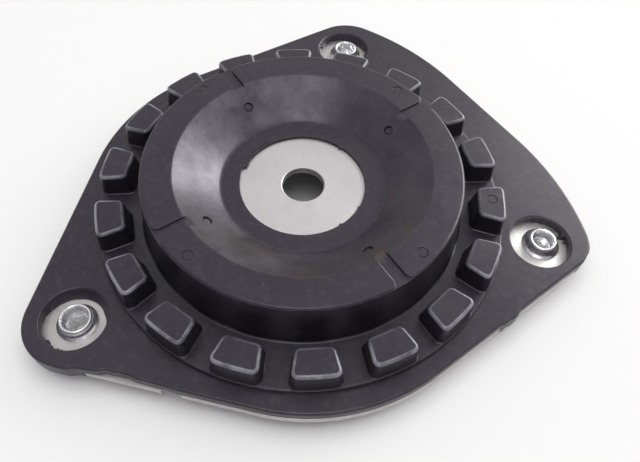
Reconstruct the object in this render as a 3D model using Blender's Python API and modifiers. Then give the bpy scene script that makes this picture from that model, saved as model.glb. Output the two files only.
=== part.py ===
"""Strut mount: a rubber moulding bonded to a stamped carrier plate and an inner cup.

Units are metres and +Z is up. The mount stands on its three nuts at z = 0, and the
origin lies under the middle of its outline. +Y points to the side with two nuts.
"""

from math import acos, asin, atan2, cos, hypot, pi, radians, sin, tan

import bmesh
import bpy

# Fits
GAP = 0.0003                    # left between pieces that touch

# Inner cup
BORE_RADIUS = 0.0071            # for the strut's rod
BORE_CHAMFER = 0.0004
DISC_RADIUS = 0.0211            # bare face in the middle of the dish
FACE_RISE = 0.0001              # the bare face is pressed up, for the mould to close on
CUP_THICKNESS = 0.0030
CUP_BEND_RADIUS = 0.0040        # on the cup's upper face
FLANGE_COVER = 0.0040           # rubber outside the cup's flange

# Dish, from the disc outwards
RING_WIDTH = 0.00685            # flat rubber ring round the disc
RING_RISE = 0.0008
CONE_WIDTH = 0.01485
CONE_COVER = 0.0020             # rubber over the cup's cone
RIM_WIDTH = 0.0103
RIM_COVER = 0.0025              # rubber over the cup's flange
DISH_DEPTH = 0.0107             # from the rim down to the disc
WALL_DRAFT = 0.0018             # the outer wall leans out by this much
RIM_FILLET = 0.0012
CONE_FOOT_FILLET = 0.0030
DISC_RISE = 0.0073              # from the platform up to the disc

# Rim grooves, one on each axis
GROOVE_COUNT = 4
GROOVE_WIDTH = 0.0062
GROOVE_DEPTH = 0.0009
GROOVE_MOUTH_RADIUS = 0.0038    # rounds the rim's corners beside the groove

# Mould marks
DIMPLE_PLACE = 0.00805          # from the cone's foot to a dimple's axis
DIMPLE_RADIUS = 0.0014
DIMPLE_DEPTH = 0.0012
MARK_PLACE = 0.0039             # from the rim's outer edge in to a mark
MARK_RADIUS = 0.0016
MARK_DEPTH = 0.0003
MARK_TURN = radians(13)         # from a groove to the mark beside it
BLOCK_MARK_TURN = radians(51)   # the one block that has a mark

# Ring of blocks
BLOCK_COUNT = 18
TROUGH_WIDTH = 0.0050           # from the dish's wall to the blocks
BLOCK_LENGTH = 0.0095
BLOCK_INNER_WIDTH = 0.0117
BLOCK_OUTER_WIDTH = 0.0154
BLOCK_HEIGHT = 0.0083
BLOCK_DRAFT = 0.0004
BLOCK_FILLET = 0.0010
BLOCK_ROOT = 0.0016             # how deep a block's foot goes into the platform
PLATFORM_LIP = 0.00095          # platform outside the blocks
PLATFORM_RISE = 0.0020
PLATFORM_FILLET = 0.0008

# Rubber skin over the plate
SKIN_THICKNESS = 0.0035
SKIN_FILLET = 0.0012
SKIN_WRAP = 0.0012              # rubber outside the steel at the corners
SKIN_OVERHANG = 0.0002          # rubber outside the steel along the straight edges

# Carrier plate
STEEL_THICKNESS = 0.0025
SKIN_MARGIN = 0.00585           # from the platform out to the straight edges
ROUND_SIDE_RADIUS = 0.0663      # joins two straight edges
STEP_INSET = 0.00165            # from the platform's edge in to the pressed step
STEP_RUN = 0.0007
COLLAR_COVER = 0.0026           # rubber outside the collar at the rim
COLLAR_HEIGHT = 0.0100
COLLAR_BEND_RADIUS = 0.0025
CORNER_RADIUS = 0.0160          # of the outline, round each nut
SIDE_BULGE = 0.0092             # how far the two-nut side stands out past its corners
SIDE_FLAT = 0.0400              # straight stretch in the middle of that side
SIDE_CORNER_EXTRA = 0.0007      # the corners of that side are this much rounder
SIDE_CORNER_INWARD = 0.0014     # and their centres lie off the nuts, along X
SIDE_CORNER_OUTWARD = 0.0021    # and along Y
NOTCH_PLACE = 0.0216            # along the straight edge from its tangent point
NOTCH_WIDTH = 0.0060
NOTCH_DEPTH = 0.0012

# Rubber spring under the cup
POCKET_MARGIN = 0.0010          # the bearing's pocket is wider than the cone's foot
POCKET_DRAFT = 0.0040
SPRING_GROOVE_WIDTH = 0.0080
SPRING_GROOVE_DEPTH = 0.0040

# Nuts and the recesses over them
RECESS_RADIUS = 0.0105
RECESS_LIP = 0.0008
RECESS_LAND = 0.00315           # skin between the platform and a recess
NUT_BODY_HEIGHT = 0.0055
NUT_ACROSS_FLATS = 0.0130
THREAD_RADIUS = 0.0034          # inside the thread
THREAD_CHAMFER = 0.0007
SHANK_RADIUS = 0.0051
TUBE_WALL = 0.0011              # of the collar above the plate
SKIRT_RADIUS = 0.0062
SKIRT_EDGE = 0.0004
SKIRT_RISE = 0.0008
NUT_COLLAR_HEIGHT = 0.0032      # above the plate
NUT_TURNS = {"front": radians(-90), "right": radians(45), "left": radians(135)}

# Facets
TURN_STEPS = 44
NUT_STEPS = 16
MARK_STEPS = 10
BEND_SEGMENTS = 2
ARC_STEP = radians(6)
SHARP_ANGLE = radians(32)

# Radii worked out from the widths
CONE_FOOT_RADIUS = DISC_RADIUS + RING_WIDTH
RIM_INNER_RADIUS = CONE_FOOT_RADIUS + CONE_WIDTH
RIM_OUTER_RADIUS = RIM_INNER_RADIUS + RIM_WIDTH
WALL_FOOT_RADIUS = RIM_OUTER_RADIUS + WALL_DRAFT
BLOCK_INNER_RADIUS = WALL_FOOT_RADIUS + TROUGH_WIDTH
BLOCK_OUTER_RADIUS = BLOCK_INNER_RADIUS + BLOCK_LENGTH
PLATFORM_RADIUS = BLOCK_OUTER_RADIUS + PLATFORM_LIP
EDGE_REACH = PLATFORM_RADIUS + SKIN_MARGIN
NUT_CIRCLE_RADIUS = PLATFORM_RADIUS + RECESS_LAND + RECESS_RADIUS

# Heights worked out from the thicknesses
PLATE_BOTTOM = NUT_BODY_HEIGHT
PLATE_TOP = PLATE_BOTTOM + STEEL_THICKNESS
SKIN_TOP = PLATE_TOP + SKIN_THICKNESS
SEAT_TOP = PLATE_TOP + PLATFORM_RISE
PLATFORM_TOP = SKIN_TOP + PLATFORM_RISE
DISC_TOP = PLATFORM_TOP + DISC_RISE
RING_TOP = DISC_TOP + RING_RISE
RIM_TOP = DISC_TOP + DISH_DEPTH
BLOCK_TOP = PLATFORM_TOP + BLOCK_HEIGHT
SPRING_BOTTOM = PLATE_TOP + SKIN_THICKNESS / 2


def nut_place(turn):
    """Where a nut's axis stands, about the bore's axis."""
    return NUT_CIRCLE_RADIUS * cos(turn), NUT_CIRCLE_RADIUS * sin(turn)


def side_corner():
    """Centre of the round corner at the right end of the two-nut side."""
    x, y = nut_place(NUT_TURNS["right"])
    return x - SIDE_CORNER_INWARD, y + SIDE_CORNER_OUTWARD


def bore_offset():
    """How far the bore's axis lies from the middle of the outline, along Y."""
    front = NUT_CIRCLE_RADIUS + CORNER_RADIUS
    back = side_corner()[1] + CORNER_RADIUS + SIDE_CORNER_EXTRA + SIDE_BULGE
    return (front - back) / 2


# Outlines and sections as lists of points

def arc(centre, radius, start, end, step=ARC_STEP):
    """Points on an arc, both ends included."""
    count = max(2, round(abs(end - start) / step))
    turns = [start + (end - start) * i / count for i in range(count + 1)]
    return [(centre[0] + radius * cos(a), centre[1] + radius * sin(a)) for a in turns]


def rounded(corners):
    """Turn (x, y, fillet radius) corners into points, each fillet an arc."""
    points = []
    for index, (x, y, radius) in enumerate(corners):
        if radius <= 0:
            points.append((x, y))
            continue
        before = corners[index - 1]
        after = corners[(index + 1) % len(corners)]
        points += fillet((before[0], before[1]), (x, y), (after[0], after[1]), radius)
    return points


def fillet(before, corner, after, radius):
    """Points on the arc that rounds one corner."""
    into = (corner[0] - before[0], corner[1] - before[1])
    out = (after[0] - corner[0], after[1] - corner[1])
    turn = atan2(into[0] * out[1] - into[1] * out[0], into[0] * out[0] + into[1] * out[1])
    setback = radius * tan(abs(turn) / 2)
    length = hypot(*into)
    start = (corner[0] - into[0] / length * setback, corner[1] - into[1] / length * setback)
    heading = atan2(into[1], into[0])
    side = 1 if turn > 0 else -1
    centre = (start[0] - side * radius * sin(heading), start[1] + side * radius * cos(heading))
    first = heading - side * pi / 2
    return arc(centre, radius, first, first + turn, abs(turn) / BEND_SEGMENTS)


def shifted(chain, distance):
    """An open chain moved to its left by a distance, with mitred corners."""
    moved = []
    for index, (x, y) in enumerate(chain):
        ahead = chain[min(index + 1, len(chain) - 1)]
        behind = chain[max(index - 1, 0)]
        leave = atan2(ahead[1] - y, ahead[0] - x) if ahead != (x, y) else None
        reach = atan2(y - behind[1], x - behind[0]) if behind != (x, y) else leave
        leave = reach if leave is None else leave
        middle = (reach + leave) / 2
        stretch = distance / cos((leave - reach) / 2)
        moved.append((x - stretch * sin(middle), y + stretch * cos(middle)))
    return moved


def longer(chain, distance):
    """An open chain made longer at both ends."""
    (x0, y0), (x1, y1) = chain[0], chain[1]
    (x3, y3), (x2, y2) = chain[-1], chain[-2]
    head = hypot(x0 - x1, y0 - y1)
    tail = hypot(x3 - x2, y3 - y2)
    first = (x0 + (x0 - x1) / head * distance, y0 + (y0 - y1) / head * distance)
    last = (x3 + (x3 - x2) / tail * distance, y3 + (y3 - y2) / tail * distance)
    return [first] + chain[1:-1] + [last]


def sheet_section(chain, thickness, grow):
    """Closed section of sheet metal under a chain, grown all round by a clearance."""
    top = longer(chain, grow) if grow else chain
    return shifted(top, grow) + shifted(top, -thickness - grow)[::-1]


def cup_chain():
    """Upper side of the inner cup, from the bore outwards."""
    slope = atan2(RIM_TOP - RING_TOP, CONE_WIDTH)
    flange_top = RIM_TOP - RIM_COVER
    covered_top = DISC_TOP - FACE_RISE
    cover = CONE_COVER / sin(slope)
    foot = CONE_FOOT_RADIUS + (covered_top - RING_TOP) / tan(slope) + cover
    head = CONE_FOOT_RADIUS + (flange_top - RING_TOP) / tan(slope) + cover
    return rounded([
        (BORE_RADIUS, DISC_TOP, 0),
        (DISC_RADIUS - GAP, DISC_TOP, 0),
        (DISC_RADIUS - GAP + FACE_RISE, covered_top, 0),
        (foot, covered_top, CUP_BEND_RADIUS),
        (head, flange_top, CUP_THICKNESS + CUP_BEND_RADIUS / 2),
        (RIM_OUTER_RADIUS - FLANGE_COVER, flange_top, 0)])


def plate_chain():
    """Upper side of the carrier plate, from the collar's top outwards."""
    collar = RIM_OUTER_RADIUS - COLLAR_COVER
    step_foot = PLATFORM_RADIUS - STEP_INSET
    blank = NUT_CIRCLE_RADIUS + 2 * CORNER_RADIUS
    return rounded([
        (collar, SEAT_TOP + COLLAR_HEIGHT, 0),
        (collar, SEAT_TOP, COLLAR_BEND_RADIUS),
        (step_foot - STEP_RUN, SEAT_TOP, 0),
        (step_foot, PLATE_TOP, 0),
        (blank, PLATE_TOP, 0)])


def rubber_section():
    """Outer form of the turned rubber, before the steel is taken out of it."""
    collar_inside = RIM_OUTER_RADIUS - COLLAR_COVER - STEEL_THICKNESS
    pocket_head = CONE_FOOT_RADIUS + POCKET_MARGIN
    pocket_foot = pocket_head + POCKET_DRAFT
    steel_middle = DISC_TOP - CUP_THICKNESS / 2
    groove_middle = (pocket_foot + collar_inside) / 2
    groove_half = SPRING_GROOVE_WIDTH / 2
    groove_top = SPRING_BOTTOM + SPRING_GROOVE_DEPTH
    return rounded([
        (DISC_RADIUS, RING_TOP, 0),
        (CONE_FOOT_RADIUS, RING_TOP, CONE_FOOT_FILLET),
        (RIM_INNER_RADIUS, RIM_TOP, RIM_FILLET),
        (RIM_OUTER_RADIUS, RIM_TOP, RIM_FILLET),
        (WALL_FOOT_RADIUS, PLATFORM_TOP, 0),
        (PLATFORM_RADIUS, PLATFORM_TOP, PLATFORM_FILLET),
        (PLATFORM_RADIUS, SPRING_BOTTOM, 0),
        (groove_middle + groove_half, SPRING_BOTTOM, 0),
        (groove_middle + groove_half / 2, groove_top, 0),
        (groove_middle - groove_half / 2, groove_top, 0),
        (groove_middle - groove_half, SPRING_BOTTOM, 0),
        (pocket_foot, SPRING_BOTTOM, 0),
        (pocket_head, steel_middle, 0),
        (DISC_RADIUS, steel_middle, 0)])


def outline(inset, corner_inset):
    """Outline of the skin, or of the plate inside it, as straight edges and arcs."""
    reach = EDGE_REACH - inset
    front_radius = CORNER_RADIUS - corner_inset
    side_radius = front_radius + SIDE_CORNER_EXTRA
    front = NUT_TURNS["front"]
    corner = side_corner()
    first = front + acos((reach - front_radius) / NUT_CIRCLE_RADIUS)
    second = atan2(corner[1], corner[0]) - acos((reach - side_radius) / hypot(*corner))
    middle = (first + second) / 2
    shift = (reach - ROUND_SIDE_RADIUS) / cos((second - first) / 2)
    round_centre = (shift * cos(middle), shift * sin(middle))
    flat_half = SIDE_FLAT / 2
    deep = side_radius + SIDE_BULGE
    run = corner[0] - flat_half
    bow_radius = (run ** 2 + deep ** 2 - side_radius ** 2) / (2 * SIDE_BULGE)
    bow_centre = (flat_half, corner[1] + deep - bow_radius)
    meet = atan2(corner[1] - bow_centre[1], run)
    half = arc(nut_place(front), front_radius, front, first)
    half += arc(round_centre, ROUND_SIDE_RADIUS, first, second)
    half += arc(corner, side_radius, second, meet)
    half += arc(bow_centre, bow_radius, meet, pi / 2)[1:]
    return half + [(-x, y) for x, y in half[:0:-1]]


def straight_edge_normal(inset, corner_inset):
    """Which way the straight edge beside the front corner faces."""
    spread = acos((EDGE_REACH - inset - CORNER_RADIUS + corner_inset) / NUT_CIRCLE_RADIUS)
    return NUT_TURNS["front"] + spread


# Scene and objects

def clear_scene():
    for item in list(bpy.data.objects):
        bpy.data.objects.remove(item, do_unlink=True)


def collection(name):
    made = bpy.data.collections.new(name)
    bpy.context.scene.collection.children.link(made)
    return made


def add_object(name, mesh, group):
    item = bpy.data.objects.new(name, mesh)
    group.objects.link(item)
    return item


def as_guide(item):
    """Mark a cutter or a joined solid, which isn't a piece of its own."""
    item.hide_render = True
    item.display_type = "WIRE"
    return item


def material(name, colour, roughness, metallic):
    made = bpy.data.materials.new(name)
    made.use_nodes = True
    shader = made.node_tree.nodes["Principled BSDF"]
    shader.inputs["Base Color"].default_value = (*colour, 1)
    shader.inputs["Roughness"].default_value = roughness
    shader.inputs["Metallic"].default_value = metallic
    return made


def turned(name, section, steps, group):
    """A closed section turned about the Z axis."""
    twice_area = sum(a[0] * b[1] - b[0] * a[1] for a, b in zip(section, section[1:] + section[:1]))
    points = section if twice_area < 0 else section[::-1]
    mesh = bpy.data.meshes.new(name)
    edges = [(i, (i + 1) % len(points)) for i in range(len(points))]
    mesh.from_pydata([(x, 0, z) for x, z in points], edges, [])
    item = add_object(name, mesh, group)
    screw = item.modifiers.new("turn", "SCREW")
    screw.axis = "Z"
    screw.steps = steps
    screw.render_steps = steps
    screw.use_merge_vertices = True
    screw.merge_threshold = 0.00001
    return item


def prism(name, points, bottom, top, group):
    """A flat outline pulled up into a solid."""
    mesh = bpy.data.meshes.new(name)
    bm = bmesh.new()
    floor = bm.faces.new([bm.verts.new((x, y, bottom)) for x, y in points])
    raised = bmesh.ops.extrude_face_region(bm, geom=[floor])
    moved = [part for part in raised["geom"] if isinstance(part, bmesh.types.BMVert)]
    bmesh.ops.translate(bm, verts=moved, vec=(0, 0, top - bottom))
    bmesh.ops.recalc_face_normals(bm, faces=bm.faces)
    bm.to_mesh(mesh)
    bm.free()
    return add_object(name, mesh, group)


def cylinder(name, radius, bottom, top, steps, group):
    """An upright cylinder on the Z axis."""
    mesh = bpy.data.meshes.new(name)
    bm = bmesh.new()
    bmesh.ops.create_cone(bm, cap_ends=True, segments=steps, radius1=radius,
                          radius2=radius, depth=top - bottom)
    bmesh.ops.translate(bm, verts=bm.verts, vec=(0, 0, (top + bottom) / 2))
    bm.to_mesh(mesh)
    bm.free()
    return add_object(name, mesh, group)


def round_edges(item, width, wanted):
    """Round the edges whose two ends pass a test on their places."""
    mesh = item.data
    if "bevel_weight_edge" not in mesh.attributes:
        weights = mesh.attributes.new("bevel_weight_edge", "FLOAT", "EDGE")
        for edge in mesh.edges:
            ends = [mesh.vertices[i].co for i in edge.vertices]
            weights.data[edge.index].value = 1.0 if wanted(*ends) else 0.0
    rounding = item.modifiers.new("rounding", "BEVEL")
    rounding.width = width
    rounding.segments = BEND_SEGMENTS
    rounding.limit_method = "WEIGHT"


def combine(item, other, operation):
    """Join, cut or trim an object by an object or by a collection of them."""
    step = item.modifiers.new(operation.lower() + " " + other.name, "BOOLEAN")
    step.operation = operation
    step.solver = "EXACT"
    if isinstance(other, bpy.types.Collection):
        step.operand_type = "COLLECTION"
        step.collection = other
    else:
        step.object = other


def place(item, radius, turn):
    """Move an object out from the bore's axis and turn it with its radius."""
    item.location = (radius * cos(turn), radius * sin(turn), 0)
    item.rotation_euler = (0, 0, turn)


# Pieces

def carrier_solid(name, grow, group, guides):
    """The plate, drawn as a turned blank and trimmed to its outline."""
    blank = turned(name, sheet_section(plate_chain(), STEEL_THICKNESS, grow), TURN_STEPS, group)
    edge = outline(SKIN_OVERHANG - grow, SKIN_WRAP - grow)
    trim = as_guide(prism(name + "_trim", edge, 0, RIM_TOP, guides))
    combine(blank, trim, "INTERSECT")
    return blank


def cup_solid(name, grow, group):
    return turned(name, sheet_section(cup_chain(), CUP_THICKNESS, grow), TURN_STEPS, group)


def nut_hole(turn, group):
    hole = cylinder("nut_hole", SHANK_RADIUS + GAP, 0, SKIN_TOP, NUT_STEPS, group)
    place(hole, NUT_CIRCLE_RADIUS, turn)
    return as_guide(hole)


def notch_cutter(group):
    """Cutter for the locating notch in the straight edge beside the front corner."""
    half = NOTCH_WIDTH / 2
    edge = EDGE_REACH - SKIN_OVERHANG
    inner, outer = edge - NOTCH_DEPTH, edge + NOTCH_DEPTH
    shape = rounded([
        (inner, -NOTCH_PLACE - half, NOTCH_DEPTH / 2),
        (outer, -NOTCH_PLACE - half, 0),
        (outer, -NOTCH_PLACE + half, 0),
        (inner, -NOTCH_PLACE + half, NOTCH_DEPTH / 2)])
    cutter = as_guide(prism("notch_cutter", shape, 0, SKIN_TOP, group))
    cutter.rotation_euler = (0, 0, straight_edge_normal(SKIN_OVERHANG, SKIN_WRAP))
    return cutter


def carrier_plate(parts, guides, cuts):
    plate = carrier_solid("carrier_plate", 0, parts, guides)
    for turn in NUT_TURNS.values():
        nut_hole(turn, cuts)
    notch_cutter(cuts)
    combine(plate, cuts, "DIFFERENCE")
    return plate


def inner_cup(parts, guides):
    cup = cup_solid("inner_cup", 0, parts)
    bottom = DISC_TOP - CUP_THICKNESS
    reach = 2 * BORE_CHAMFER
    for name, face, way in (("upper_chamfer", DISC_TOP, 1), ("lower_chamfer", bottom, -1)):
        outside, inside = face + way * reach, face - way * reach
        cone = [
            (0.0, outside),
            (BORE_RADIUS + BORE_CHAMFER + reach, outside),
            (BORE_RADIUS + BORE_CHAMFER - reach, inside),
            (0.0, inside)]
        combine(cup, as_guide(turned(name, cone, TURN_STEPS, guides)), "DIFFERENCE")
    return cup


def block_solid(group):
    """One bump block, tapered in plan and drafted, with its outer face on the ring."""
    inner, outer = BLOCK_INNER_WIDTH / 2, BLOCK_OUTER_WIDTH / 2
    spread = asin(outer / BLOCK_OUTER_RADIUS)
    plan = [(BLOCK_INNER_RADIUS, inner), (BLOCK_INNER_RADIUS, -inner)]
    plan += arc((0, 0), BLOCK_OUTER_RADIUS, -spread, spread, spread)
    block = prism("block", plan, PLATFORM_TOP - BLOCK_ROOT, BLOCK_TOP, group)
    middle = (BLOCK_INNER_RADIUS + BLOCK_OUTER_RADIUS) / 2
    for vertex in block.data.vertices:
        if vertex.co.z < PLATFORM_TOP:
            vertex.co.x += BLOCK_DRAFT if vertex.co.x > middle else -BLOCK_DRAFT
            vertex.co.y *= 1 + BLOCK_DRAFT / outer
    return block


def block_edge_is_round(start, end):
    """True on a block's top edges and upright corners, but not at its foot."""
    at_top = max(start.z, end.z) > PLATFORM_TOP
    upright_middle = max(abs(start.y), abs(end.y)) < BLOCK_DRAFT and start.z != end.z
    return at_top and not upright_middle


def bump_blocks(group):
    first = block_solid(group)
    for index in range(BLOCK_COUNT):
        block = as_guide(add_object("block", first.data, group) if index else first)
        round_edges(block, BLOCK_FILLET, block_edge_is_round)
        block.rotation_euler = (0, 0, pi / 2 + 2 * pi * index / BLOCK_COUNT)


def groove_cutter(turn, group):
    """Shallow channel across the rim that opens out round its mouth."""
    half = GROOVE_WIDTH / 2
    wide = half + GROOVE_MOUTH_RADIUS
    bend = RIM_OUTER_RADIUS - GROOVE_MOUTH_RADIUS
    far = RIM_OUTER_RADIUS + WALL_DRAFT
    near = RIM_INNER_RADIUS - 2 * GROOVE_DEPTH
    side = arc((bend, wide), GROOVE_MOUTH_RADIUS, -pi / 2, 0, pi / 8)
    upper = [(near, half)] + side + [(far, wide)]
    shape = upper + [(x, -y) for x, y in upper[::-1]]
    cutter = prism("groove_cutter", shape, RIM_TOP - GROOVE_DEPTH, RIM_TOP + GROOVE_DEPTH, group)
    cutter.rotation_euler = (0, 0, turn)
    return as_guide(cutter)


def mark_cutter(name, radius, height, depth, place_radius, turn, group):
    mark = cylinder(name, radius, height - depth, height + 4 * depth, MARK_STEPS, group)
    place(mark, place_radius, turn)
    return as_guide(mark)


def recess_cutter(turn, group):
    """Round recess through the skin over a nut, with a rounded lip."""
    lip = RECESS_RADIUS + RECESS_LIP
    section = [
        (0.0, SKIN_TOP + RECESS_LIP),
        (lip + RECESS_LIP, SKIN_TOP + RECESS_LIP),
        (lip, SKIN_TOP),
        (RECESS_RADIUS + RECESS_LIP / 3, SKIN_TOP - RECESS_LIP / 3),
        (RECESS_RADIUS, SKIN_TOP - RECESS_LIP),
        (RECESS_RADIUS - RECESS_LIP / 2, PLATE_BOTTOM),
        (0.0, PLATE_BOTTOM)]
    cutter = turned("recess_cutter", section, 2 * NUT_STEPS, group)
    place(cutter, NUT_CIRCLE_RADIUS, turn)
    return as_guide(cutter)


def rubber_cuts(group):
    cone_slope = (RIM_TOP - RING_TOP) / CONE_WIDTH
    for index in range(GROOVE_COUNT):
        turn = 2 * pi * index / GROOVE_COUNT
        groove_cutter(turn, group)
        mark_cutter("rim_mark", MARK_RADIUS, RIM_TOP, MARK_DEPTH,
                    RIM_OUTER_RADIUS - MARK_PLACE, turn + MARK_TURN, group)
        mark_cutter("dimple", DIMPLE_RADIUS, RING_TOP + cone_slope * DIMPLE_PLACE, DIMPLE_DEPTH,
                    CONE_FOOT_RADIUS + DIMPLE_PLACE, turn, group)
    mark_cutter("block_mark", MARK_RADIUS, BLOCK_TOP, MARK_DEPTH,
                BLOCK_INNER_RADIUS + BLOCK_LENGTH / 2, BLOCK_MARK_TURN, group)
    for turn in NUT_TURNS.values():
        recess_cutter(turn, group)


def skin(guides):
    """Flat skin over the plate, open in the middle."""
    edge = outline(0, 0)
    cover = as_guide(prism("skin", edge, PLATE_BOTTOM, SKIN_TOP, guides))
    round_edges(cover, SKIN_FILLET, lambda start, end: min(start.z, end.z) > SKIN_TOP - GAP)
    hole = cylinder("skin_hole", PLATFORM_RADIUS - STEP_INSET / 2, 0, RIM_TOP, TURN_STEPS, guides)
    combine(cover, as_guide(hole), "DIFFERENCE")
    return cover


def rubber_body(parts, guides, blocks, cuts):
    body = turned("rubber_body", rubber_section(), TURN_STEPS, parts)
    body.rotation_euler = (0, 0, pi / TURN_STEPS)    # no facet edge lies on one of the steel's
    bump_blocks(blocks)
    rubber_cuts(cuts)
    combine(body, skin(guides), "UNION")
    combine(body, blocks, "UNION")
    combine(body, as_guide(carrier_solid("plate_room", GAP, guides, guides)), "DIFFERENCE")
    combine(body, as_guide(cup_solid("cup_room", GAP, guides)), "DIFFERENCE")
    combine(body, cuts, "DIFFERENCE")
    return body


def clinch_nut(name, turn, parts, guides):
    """Hexagon body under the plate, shank through it, swaged skirt and collar above."""
    top = PLATE_TOP + NUT_COLLAR_HEIGHT
    skirt_bottom = PLATE_TOP + GAP
    skirt_top = skirt_bottom + SKIRT_EDGE
    tube_bore = SHANK_RADIUS - TUBE_WALL
    section = [
        (tube_bore, top),
        (SHANK_RADIUS - SKIRT_EDGE, top),
        (SHANK_RADIUS, top - SKIRT_EDGE),
        (SHANK_RADIUS, skirt_top + SKIRT_RISE),
        (SKIRT_RADIUS, skirt_top),
        (SKIRT_RADIUS, skirt_bottom),
        (SHANK_RADIUS, skirt_bottom),
        (SHANK_RADIUS, NUT_BODY_HEIGHT / 2),
        (THREAD_RADIUS, NUT_BODY_HEIGHT / 2),
        (THREAD_RADIUS, PLATE_TOP - THREAD_CHAMFER),
        (tube_bore, PLATE_TOP)]
    nut = turned(name, section, NUT_STEPS, parts)
    place(nut, NUT_CIRCLE_RADIUS, turn)
    corner = NUT_ACROSS_FLATS / 2 / cos(pi / 6)
    hexagon = cylinder("hexagon", corner, 0, NUT_BODY_HEIGHT - GAP, 6, guides)
    bore = [
        (0.0, top),
        (THREAD_RADIUS, top),
        (THREAD_RADIUS, THREAD_CHAMFER),
        (THREAD_RADIUS + 2 * THREAD_CHAMFER, -THREAD_CHAMFER),
        (0.0, -THREAD_CHAMFER)]
    drill = turned("drill", bore, NUT_STEPS, guides)
    for guide in (hexagon, drill):
        place(as_guide(guide), NUT_CIRCLE_RADIUS, turn)
    combine(hexagon, drill, "DIFFERENCE")
    combine(nut, hexagon, "UNION")
    return nut


def finish_piece(item, surface, middle):
    """Settle a piece's modifiers, shade it, give it its material and hang it on the axis."""
    view = bpy.context.evaluated_depsgraph_get()
    mesh = bpy.data.meshes.new_from_object(item.evaluated_get(view), depsgraph=view)
    item.modifiers.clear()
    item.data = mesh
    mesh.name = item.name
    mesh.shade_smooth()
    mesh.set_sharp_from_angle(angle=SHARP_ANGLE)
    mesh.materials.clear()
    mesh.materials.append(surface)
    item.parent = middle


def build():
    clear_scene()
    parts = collection("strut_mount")
    guides = collection("cutters")
    blocks = collection("blocks")
    plate_cuts = collection("plate_cuts")
    rubber_cutters = collection("rubber_cuts")
    axis = bpy.data.objects.new("bore_axis", None)
    axis.location = (0, bore_offset(), 0)
    parts.objects.link(axis)
    rubber = material("black_rubber", (0.035, 0.034, 0.038), 0.55, 0)
    plated = material("plated_steel", (0.62, 0.60, 0.57), 0.42, 1)
    bare = material("bare_steel", (0.66, 0.64, 0.62), 0.35, 1)
    finish_piece(rubber_body(parts, guides, blocks, rubber_cutters), rubber, axis)
    finish_piece(carrier_plate(parts, guides, plate_cuts), plated, axis)
    finish_piece(inner_cup(parts, guides), bare, axis)
    for side, turn in NUT_TURNS.items():
        finish_piece(clinch_nut("clinch_nut_" + side, turn, parts, guides), plated, axis)
    for group in (guides, blocks, plate_cuts, rubber_cutters):
        for item in group.objects:
            item.parent = axis


build()
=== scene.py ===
"""Looks of the strut mount: the rubber moulding, the two stampings and the three nuts.

Every piece is modelled about the bore's axis, in metres, and moved to the axis of the
packed inner cup at the end. The disc's, plate's, rim's and nuts' heights are read from
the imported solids.
"""

from math import acos, atan2, cos, degrees, hypot, pi, radians, sin, tan

import bmesh
import bpy
from mathutils import Matrix, Vector


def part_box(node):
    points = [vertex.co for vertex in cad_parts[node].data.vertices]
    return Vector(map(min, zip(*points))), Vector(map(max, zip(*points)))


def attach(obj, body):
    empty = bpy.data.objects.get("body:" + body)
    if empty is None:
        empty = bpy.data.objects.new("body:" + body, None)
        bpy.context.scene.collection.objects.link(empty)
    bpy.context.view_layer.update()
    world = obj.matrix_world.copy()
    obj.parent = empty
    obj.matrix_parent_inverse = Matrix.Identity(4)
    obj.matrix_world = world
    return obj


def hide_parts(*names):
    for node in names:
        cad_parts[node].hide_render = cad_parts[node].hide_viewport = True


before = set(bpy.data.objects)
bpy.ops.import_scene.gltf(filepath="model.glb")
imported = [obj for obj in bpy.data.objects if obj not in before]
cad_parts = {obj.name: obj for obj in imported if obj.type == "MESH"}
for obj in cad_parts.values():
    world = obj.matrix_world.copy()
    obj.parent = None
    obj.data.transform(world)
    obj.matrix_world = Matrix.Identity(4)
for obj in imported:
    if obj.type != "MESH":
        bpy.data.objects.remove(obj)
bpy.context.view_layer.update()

# Places read from the frame
CUP_LOW, CUP_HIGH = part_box("inner_cup")
PLATE_LOW, PLATE_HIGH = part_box("carrier_plate")
RIM_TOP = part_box("rubber_body")[1].z
NUT_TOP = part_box("clinch_nut_front")[1].z
AXIS_Y = (CUP_LOW.y + CUP_HIGH.y) / 2

# Thicknesses and heights
CUP_THICKNESS = 0.0030
STEEL_THICKNESS = 0.0025
SKIN_THICKNESS = 0.0035
SEAT_RISE = 0.0020
PLATFORM_RISE = 0.0020
RING_RISE = 0.0008
BLOCK_HEIGHT = 0.0083
SPRING_RISE = 0.00175
DISC_TOP = CUP_LOW.z + CUP_THICKNESS
PLATE_BOTTOM = PLATE_LOW.z
PLATE_TOP = PLATE_BOTTOM + STEEL_THICKNESS
SKIN_TOP = PLATE_TOP + SKIN_THICKNESS
SEAT_TOP = PLATE_TOP + SEAT_RISE
PLATFORM_TOP = SKIN_TOP + PLATFORM_RISE
RING_TOP = DISC_TOP + RING_RISE
BLOCK_TOP = PLATFORM_TOP + BLOCK_HEIGHT
SPRING_BOTTOM = PLATE_TOP + SPRING_RISE

# Radii about the bore's axis
BORE_RADIUS = 0.0071
DISC_RADIUS = 0.0211
CONE_FOOT_RADIUS = 0.02795
RIM_INNER_RADIUS = 0.0428
RIM_OUTER_RADIUS = 0.0531
WALL_FOOT_RADIUS = 0.0549
BLOCK_INNER_RADIUS = 0.0599
BLOCK_OUTER_RADIUS = 0.0694
PLATFORM_RADIUS = 0.07035
EDGE_REACH = 0.0760
NUT_CIRCLE_RADIUS = 0.0840
CORNER_RADIUS = 0.0148
ROUND_SIDE_RADIUS = 0.0661
COLLAR_COVER = 0.0026
COLLAR_RADIUS = RIM_OUTER_RADIUS - COLLAR_COVER
SEAT_INSET = 0.00165
SEAT_STEP = 0.0007
NUT_TURNS = {"front": radians(-90), "right": radians(45), "left": radians(135)}

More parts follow.
